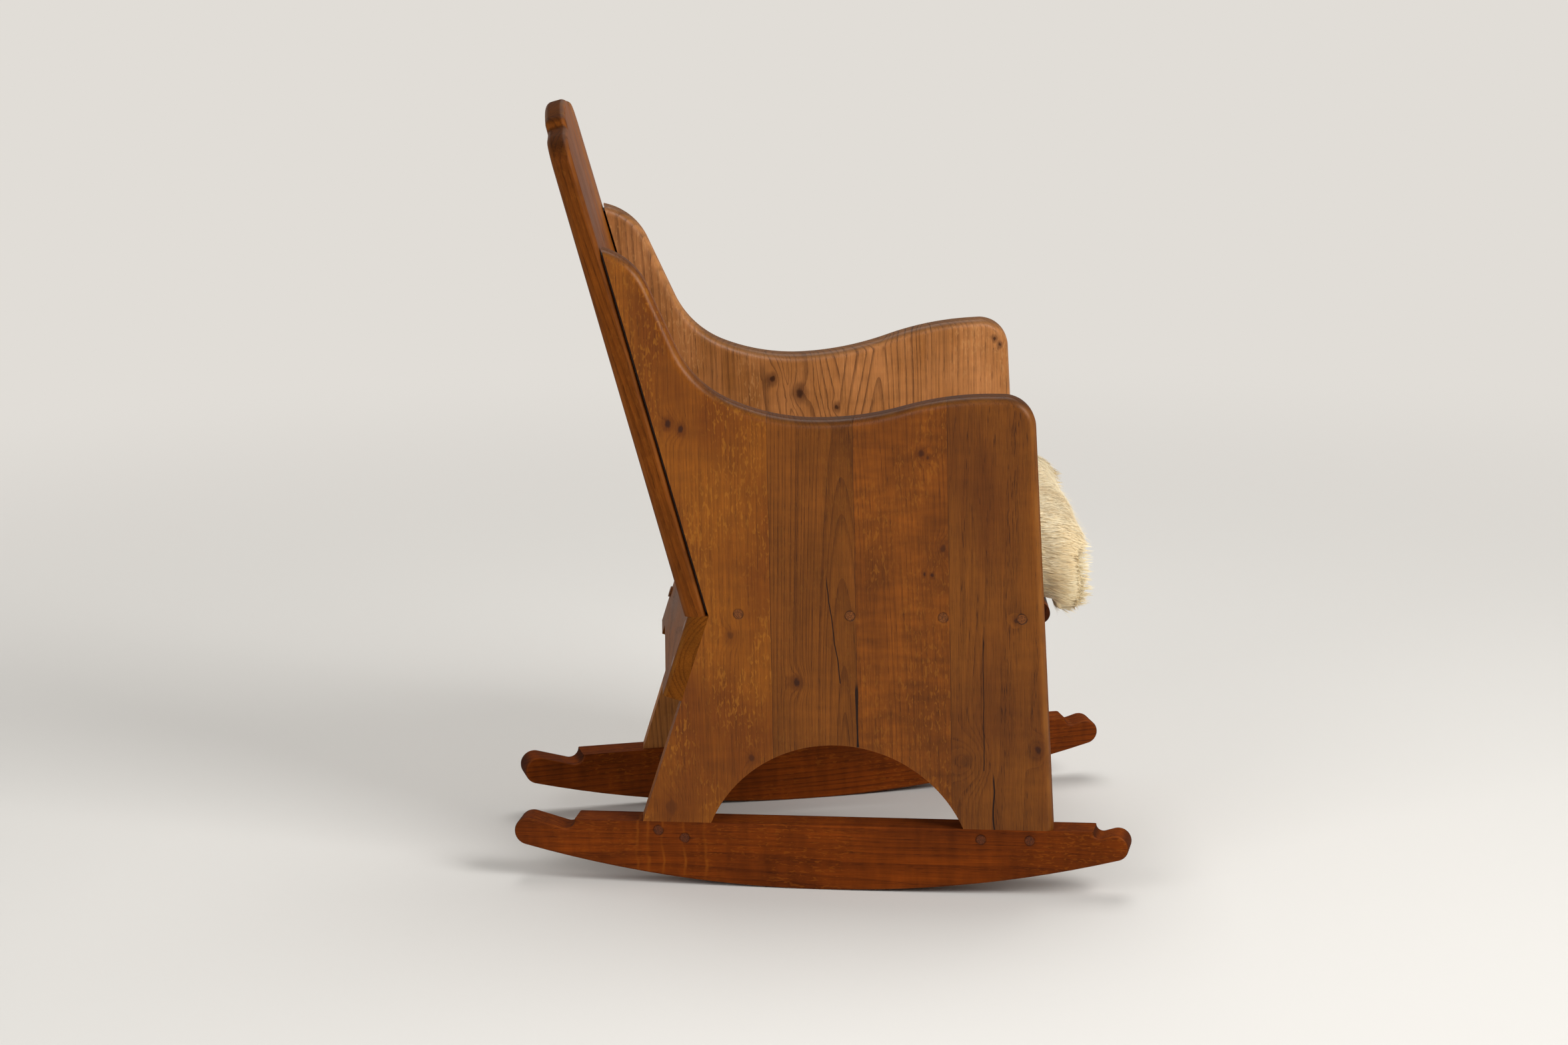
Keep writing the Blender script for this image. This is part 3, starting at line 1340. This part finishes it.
    def pleat(self, points: np.ndarray, side: Side) -> np.ndarray:
        """Find how deep in a front corner's pleat each place is, from 0 to 1."""
        across, depth = self.pleat_line(points, side)
        return depth * bell(across, 0.0, self.pleat_width_mm)

    def fold(self, piece: Any) -> None:
        """Press the pleats into the front corners, and mark them for the hide's shade.

        Args:
            piece: the filled hide, at its finest mesh.
        """
        points = upright_mm(self.points_of(piece.data))
        depth = np.zeros(len(points))
        forward, outward = np.array(self.pleat_mm) / np.hypot(*self.pleat_mm)
        for side in Side:
            deep = self.pleat(points, side)
            inward = np.array((-forward, -side.value * outward, 0.0))
            points += inward * (self.pleat_depth_mm * deep)[:, None]
            depth = np.maximum(depth, deep)
        mark = piece.data.attributes.new("pleat", "FLOAT", "POINT")
        mark.data.foreach_set("value", depth.astype(np.float32))
        self.place(piece, points)

    def underside(self, piece: Any, finishes: tuple[Any, Any]) -> None:
        """Give the underside its cloth, inside a hem of hide.

        Args:
            piece: the filled form.
            finishes: the hide's material and the cloth's.
        """
        for finish in finishes:
            piece.data.materials.append(finish)
        lowest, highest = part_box("cushion_lining")
        for face in piece.data.polygons:
            centre = face.center
            inside = lowest.x < centre.x < highest.x and face.normal.z < self.lining_tilt
            share = (centre.x - lowest.x) / (highest.x - lowest.x)
            half = self.lining_half_m[0] + self.lining_half_m[1] * share
            face.material_index = 1 if inside and abs(centre.y) < half else 0

    def hair_lock(self) -> tuple[np.ndarray, list[list[int]]]:
        """Model one lock of hair: a narrow blade of three lengths with a pointed tip.

        Returns:
            Its vertices, across from -0.5 to 0.5 and along from 0 to 1, and its faces.
        """
        bpy.ops.object.select_all(action="DESELECT")
        bpy.ops.mesh.primitive_grid_add(x_subdivisions=1, y_subdivisions=3, size=1.0)
        lock = bpy.context.object
        bpy.context.tool_settings.mesh_select_mode = (True, False, False)
        bpy.ops.object.mode_set(mode="EDIT")
        bpy.ops.mesh.select_all(action="DESELECT")
        bpy.ops.object.mode_set(mode="OBJECT")
        top = max(vertex.co.y for vertex in lock.data.vertices)
        for vertex in lock.data.vertices:
            vertex.select = vertex.co.y > top - 1e-6
        bpy.ops.object.mode_set(mode="EDIT")
        bpy.ops.mesh.merge(type="CENTER")
        bpy.ops.object.mode_set(mode="OBJECT")
        shape = np.array([(vertex.co.x, vertex.co.y + 0.5) for vertex in lock.data.vertices])
        faces = [list(face.vertices) for face in lock.data.polygons]
        bpy.data.objects.remove(lock, do_unlink=True)
        return shape, faces

    def skin_of(self, mesh: Any) -> Skin:
        """Measure the triangles of the hide.

        Args:
            mesh: the hide's mesh.

        Returns:
            Its triangles.
        """
        mesh.calc_loop_triangles()
        numbers = np.empty(3 * len(mesh.loop_triangles), np.int32)
        mesh.loop_triangles.foreach_get("vertices", numbers)
        points = upright_mm(self.points_of(mesh))
        a, b, c = (points[numbers[place::3]] for place in range(3))
        normal = np.cross(b - a, c - a)
        area = np.linalg.norm(normal, axis=1) / 2
        normal /= np.maximum(2 * area, 1e-9)[:, None]
        return Skin((a, b, c), (a + b + c) / 3, normal, area)

    def growth(self, skin: Skin, zone: HairZone) -> np.ndarray:
        """Work out how thickly the hair of one zone grows: not underneath, and thinly where it is hidden.

        Args:
            skin: the hide's triangles.
            zone: where the hair grows.

        Returns:
            Each triangle's share of the locks, 1 in all.
        """
        forward = skin.middle[:, 0]
        facing_front, facing_side, facing_up = skin.normal.T
        at_edge = forward > self.front_edge_mm
        under = (facing_up < self.under_tilt[0]) & (forward < self.front_edge_mm)
        weight = skin.area * np.where(under | (facing_up < self.under_tilt[1]), 0.0, 1.0)
        front = (forward > self.front_from_mm) & ((facing_up < self.top_tilt) | at_edge)
        weight *= np.where(front == (zone is HairZone.FRONT), 1.0, 0.0)
        for side in Side:
            weight *= 1.0 - self.pleat(skin.middle, side)
        hidden = (np.abs(facing_side) > self.side_tilt) & (forward < self.hidden_to_mm)
        weight *= np.where(hidden | (facing_front < -self.side_tilt), self.hidden_share, 1.0)
        return weight / weight.sum()

    def comb(self, piece: Any, finish: Any, zone: HairZone) -> Any:
        """Grow the hair of one zone: thousands of locks, combed forward and down over the edges.

        Args:
            piece: the filled hide.
            finish: the hair's material.
            zone: where the hair grows.

        Returns:
            The hair, as one piece.
        """
        shape, faces = self.hair_lock()
        dice = np.random.default_rng((self.seed, list(HairZone).index(zone)))
        skin = self.skin_of(piece.data)
        count = self.hair_count
        picked = dice.choice(len(skin.area), count, p=self.growth(skin, zone))
        share = dice.random((count, 2))
        flip = share.sum(1) > 1
        share[flip] = 1 - share[flip]
        a, b, c = (corner[picked] for corner in skin.corners)
        root = a + share[:, :1] * (b - a) + share[:, 1:] * (c - a)
        up = skin.normal[picked]
        aside = np.abs(up[:, 1])
        lie = np.array(self.lie) + dice.normal(0.0, self.lie_uneven, (count, 3))
        lie[:, 2] += self.side_lie_up * aside
        lie[:, 1] += self.side_lie_out * np.sign(root[:, 1]) * slope(np.abs(root[:, 1]), *self.side_lie_mm)
        lie -= up * (lie * up).sum(1, keepdims=True)
        lie /= np.maximum(np.linalg.norm(lie, axis=1, keepdims=True), 1e-6)
        length = dice.uniform(*self.hair_length_mm, count) * (1.0 + self.side_hair_longer * aside)
        lift = np.radians(dice.uniform(*self.hair_lift_deg, count))
        stray = dice.random(count) < self.stray_share
        length = np.where(stray, self.stray_length_mm * dice.uniform(*self.stray_uneven, count), length)
        lift = np.where(stray, np.radians(dice.uniform(*self.stray_lift_deg, count)), lift)
        length *= self.trim(root, root + lie * length[:, None])
        width = self.hair_width_mm * dice.uniform(*self.hair_uneven, count)
        wide = np.cross(lie, up)
        along = shape[:, 1]
        taper = 1.0 - self.hair_taper * along
        sag = np.outer(length * self.hair_sag, along ** 2)
        rise = np.outer(length * np.sin(lift), along) - sag + self.hair_root_mm
        places = (root[:, None, :]
                  + lie[:, None, :] * (np.outer(length * np.cos(lift), along))[:, :, None]
                  + up[:, None, :] * rise[:, :, None]
                  + wide[:, None, :] * np.outer(width, shape[:, 0] * taper)[:, :, None])
        standing = standing_m(self.keep_clear(places.reshape(-1, 3), self.hair_room_mm))
        made = bpy.data.meshes.new(zone.value)
        every = [[corner + lock * len(shape) for corner in face] for lock in range(count) for face in faces]
        made.from_pydata(standing.tolist(), [], every)
        self.shade_locks(made, up, along, dice)
        made.materials.append(finish)
        hair = bpy.data.objects.new(zone.value, made)
        bpy.context.scene.collection.objects.link(hair)
        return hair

    def trim(self, root: np.ndarray, tip: np.ndarray) -> np.ndarray:
        """End the locks behind a pleat at its line, so that the fold shows.

        Args:
            root: where each lock starts.
            tip: where it would end.

        Returns:
            The share of each lock's length that stays.
        """
        stays = np.ones(len(root))
        for side in Side:
            before, depth = self.pleat_line(root, side)
            beyond, _ = self.pleat_line(tip, side)
            crosses = (before < 0.0) & (beyond > 0.0) & (depth > self.pleat_trim_share)
            stays *= np.where(crosses, before / np.where(crosses, before - beyond, 1.0), 1.0)
        return stays

    def shade_locks(self, mesh: Any, up: np.ndarray, along: np.ndarray, dice: Any) -> None:
        """Give each lock its own shade, and let it take the light as the hide under it does.

        Args:
            mesh: the hair's mesh.
            up: the hide's outward direction under each lock.
            along: how far along a lock each of its vertices is.
            dice: the seeded random numbers.
        """
        count = len(along)
        tone = np.repeat(dice.random(self.hair_count), count)
        height = np.tile(along, self.hair_count)
        spot = np.empty(len(mesh.loops), np.int32)
        mesh.loops.foreach_get("vertex_index", spot)
        layer = mesh.uv_layers.new(name="lock")
        layer.uv.foreach_set("vector", np.stack((tone[spot], height[spot]), 1).astype(np.float32).ravel())
        lit = up + dice.normal(0.0, self.shine_uneven, up.shape)
        lit /= np.linalg.norm(lit, axis=1, keepdims=True)
        mesh.polygons.foreach_set("use_smooth", np.ones(len(mesh.polygons), bool))
        mesh.normals_split_custom_set_from_vertices(np.repeat(lit, count, axis=0).tolist())

    def build(self) -> None:
        """Make the cushion and its hair, and put them on the seat."""
        hide = HairOnHide()
        piece = self.blank()
        self.inflate(piece)
        self.ease(piece)
        self.pucker(piece)
        self.underside(piece, (hide.skin(), LiningCloth().build()))
        finer = piece.modifiers.new("smooth hide", "SUBSURF")
        finer.levels = 1
        finer.render_levels = 1
        bpy.context.view_layer.objects.active = piece
        bpy.ops.object.modifier_apply(modifier=finer.name)
        piece.data.polygons.foreach_set("use_smooth", np.ones(len(piece.data.polygons), bool))
        self.fold(piece)
        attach(piece, "cushion")
        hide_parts("cushion_hide_cover", "cushion_filling", "cushion_lining")
        log.info("made %s with %d faces", piece.name, len(piece.data.polygons))
        coat = hide.hair()
        for zone in HairZone:
            hair = self.comb(piece, coat, zone)
            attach(hair, "cushion")
            log.info("made %s with %d faces", hair.name, len(hair.data.polygons))


@dataclass
class Studio:
    """The pale floor and backdrop, the soft lamps and the camera. Its sizes are in metres."""

    floor_shade: str = "#D6D3CE"
    backdrop_shade: str = "#E1DDD7"
    sky_shade: str = "#E6E6E4"
    sky_strength: float = 0.36
    floor_size: float = 80.0
    # How far from the chair the floor's matt paint starts to turn into the even backdrop, and has done so.
    matt_reach: Span = (0.9, 3.2)
    backdrop_place: float = 6.0
    backdrop_height: float = 9.0
    sweep_radius: float = 2.6
    sweep_cuts: int = 24
    camera_place: Vec3 = (-0.17912, -6.5192, 1.87866)
    camera_turn_deg: Vec3 = (77.3206, 0.6689, -1.403)
    lens_mm: float = 122.397
    sensor_mm: float = 36.0
    sight: float = 100.0

    def floor(self) -> None:
        """Lay a pale floor that curves up into a backdrop."""
        bpy.ops.object.select_all(action="DESELECT")
        behind = self.backdrop_place - self.floor_size / 2
        bpy.ops.mesh.primitive_plane_add(size=self.floor_size, location=(0.0, behind, 0.0))
        ground = bpy.context.object
        ground.name = "studio_floor"
        bpy.ops.object.transform_apply(location=True, rotation=True, scale=True)
        bpy.ops.object.mode_set(mode="EDIT")
        bpy.ops.mesh.select_all(action="DESELECT")
        bpy.ops.object.mode_set(mode="OBJECT")
        for edge in ground.data.edges:
            ends = [ground.data.vertices[corner].co.y for corner in edge.vertices]
            edge.select = min(ends) > self.backdrop_place - 0.1
        bpy.ops.object.mode_set(mode="EDIT")
        bpy.ops.mesh.extrude_region_move(TRANSFORM_OT_translate={"value": (0.0, 0.0, self.backdrop_height)})
        bpy.ops.object.mode_set(mode="OBJECT")
        curve = ground.modifiers.new("sweep", "BEVEL")
        curve.width = self.sweep_radius
        curve.segments = self.sweep_cuts
        curve.limit_method = "ANGLE"
        bpy.ops.object.modifier_apply(modifier=curve.name)
        bpy.ops.object.shade_smooth()
        ground.data.materials.append(self.floor_finish())

    def floor_finish(self) -> Any:
        """Make the floor's paint: matt round the chair, where it takes the shadow, and evenly pale far away.

        Returns:
            The finished material.
        """
        made = fresh_material("pale studio paint")
        tree = made.node_tree
        matt = add(tree, "ShaderNodeBsdfPrincipled", {}, {
            "Base Color": linear(self.floor_shade), "Roughness": 0.75})
        pale = add(tree, "ShaderNodeEmission", {}, {"Color": linear(self.backdrop_shade), "Strength": 1.0})
        coords = add(tree, "ShaderNodeTexCoord")
        reach = add(tree, VECTOR, "LENGTH", {0: coords.outputs["Object"]})
        far = add(tree, RANGE, SMOOTH, {
            "Value": reach, "From Min": self.matt_reach[0], "From Max": self.matt_reach[1]})
        ray = add(tree, "ShaderNodeLightPath")
        mirrored = add(tree, MATH, "MAXIMUM", {
            0: ray.outputs["Is Glossy Ray"], 1: ray.outputs["Is Transmission Ray"]})
        seen = add(tree, MATH, "MAXIMUM", {0: ray.outputs["Is Camera Ray"], 1: mirrored})
        share = add(tree, MATH, "MULTIPLY", {0: far, 1: seen})
        both = add(tree, "ShaderNodeMixShader", {}, {0: share, 1: matt, 2: pale})
        add(tree, "ShaderNodeOutputMaterial", {}, {"Surface": both})
        return made

    def lamp(self, name: str, place: Vec3, aim: Vec3, size: float, power: float) -> None:
        """Hang one large soft lamp.

        Args:
            name: its name.
            place: where it hangs, in metres.
            aim: what it points at.
            size: its width in metres.
            power: its power in watts.
        """
        light = bpy.data.lights.new(name, "AREA")
        light.shape = "SQUARE"
        light.size = size
        light.energy = power
        lamp = bpy.data.objects.new(name, light)
        lamp.location = place
        lamp.rotation_euler = (Vector(aim) - Vector(place)).to_track_quat("-Z", "Y").to_euler()
        bpy.context.scene.collection.objects.link(lamp)

    def lamps(self) -> None:
        """Light the chair from the upper right, with a weaker fill and an even sky."""
        self.lamp("key_softbox", (3.2, -2.9, 3.1), (0.0, 0.0, 0.45), 2.2, 210.0)
        self.lamp("fill_softbox", (-2.6, -3.6, 2.4), (0.0, 0.0, 0.4), 2.6, 80.0)
        self.lamp("top_softbox", (0.2, 1.2, 3.6), (0.0, 0.0, 0.5), 2.4, 70.0)
        world = bpy.data.worlds.new("even studio light")
        world.use_nodes = True
        tree = world.node_tree
        tree.nodes.clear()
        sky = add(tree, "ShaderNodeBackground", {}, {
            "Color": linear(self.sky_shade), "Strength": self.sky_strength})
        add(tree, "ShaderNodeOutputWorld", {}, {"Surface": sky})
        bpy.context.scene.world = world
        bpy.context.scene.view_settings.view_transform = "Standard"

    def camera(self) -> None:
        """Set the camera where the photograph was taken from."""
        eye = bpy.data.cameras.new("photo_camera")
        eye.lens = self.lens_mm
        eye.sensor_width = self.sensor_mm
        eye.clip_end = self.sight
        camera = bpy.data.objects.new("photo_camera", eye)
        camera.location = self.camera_place
        camera.rotation_euler = [math.radians(angle) for angle in self.camera_turn_deg]
        bpy.context.scene.collection.objects.link(camera)
        bpy.context.scene.camera = camera

    def build(self) -> None:
        """Set the camera, the floor and the lamps."""
        self.camera()
        self.floor()
        self.lamps()


def main() -> None:
    """Build the scene piece by piece."""
    logging.basicConfig(level=logging.INFO)
    Studio().build()
    CurvedRocker(Side.RIGHT, 203.3).finish()
    CurvedRocker(Side.LEFT, 217.9).finish()
    for side in Side:
        PlankSide(side).finish()
    LeaningBack().finish()
    BoardSeat().finish()
    PegsAndDowels().finish()
    for side in Side:
        BackJoint(side).build()
    HideCushion().build()


if __name__ == "__main__":
    main()
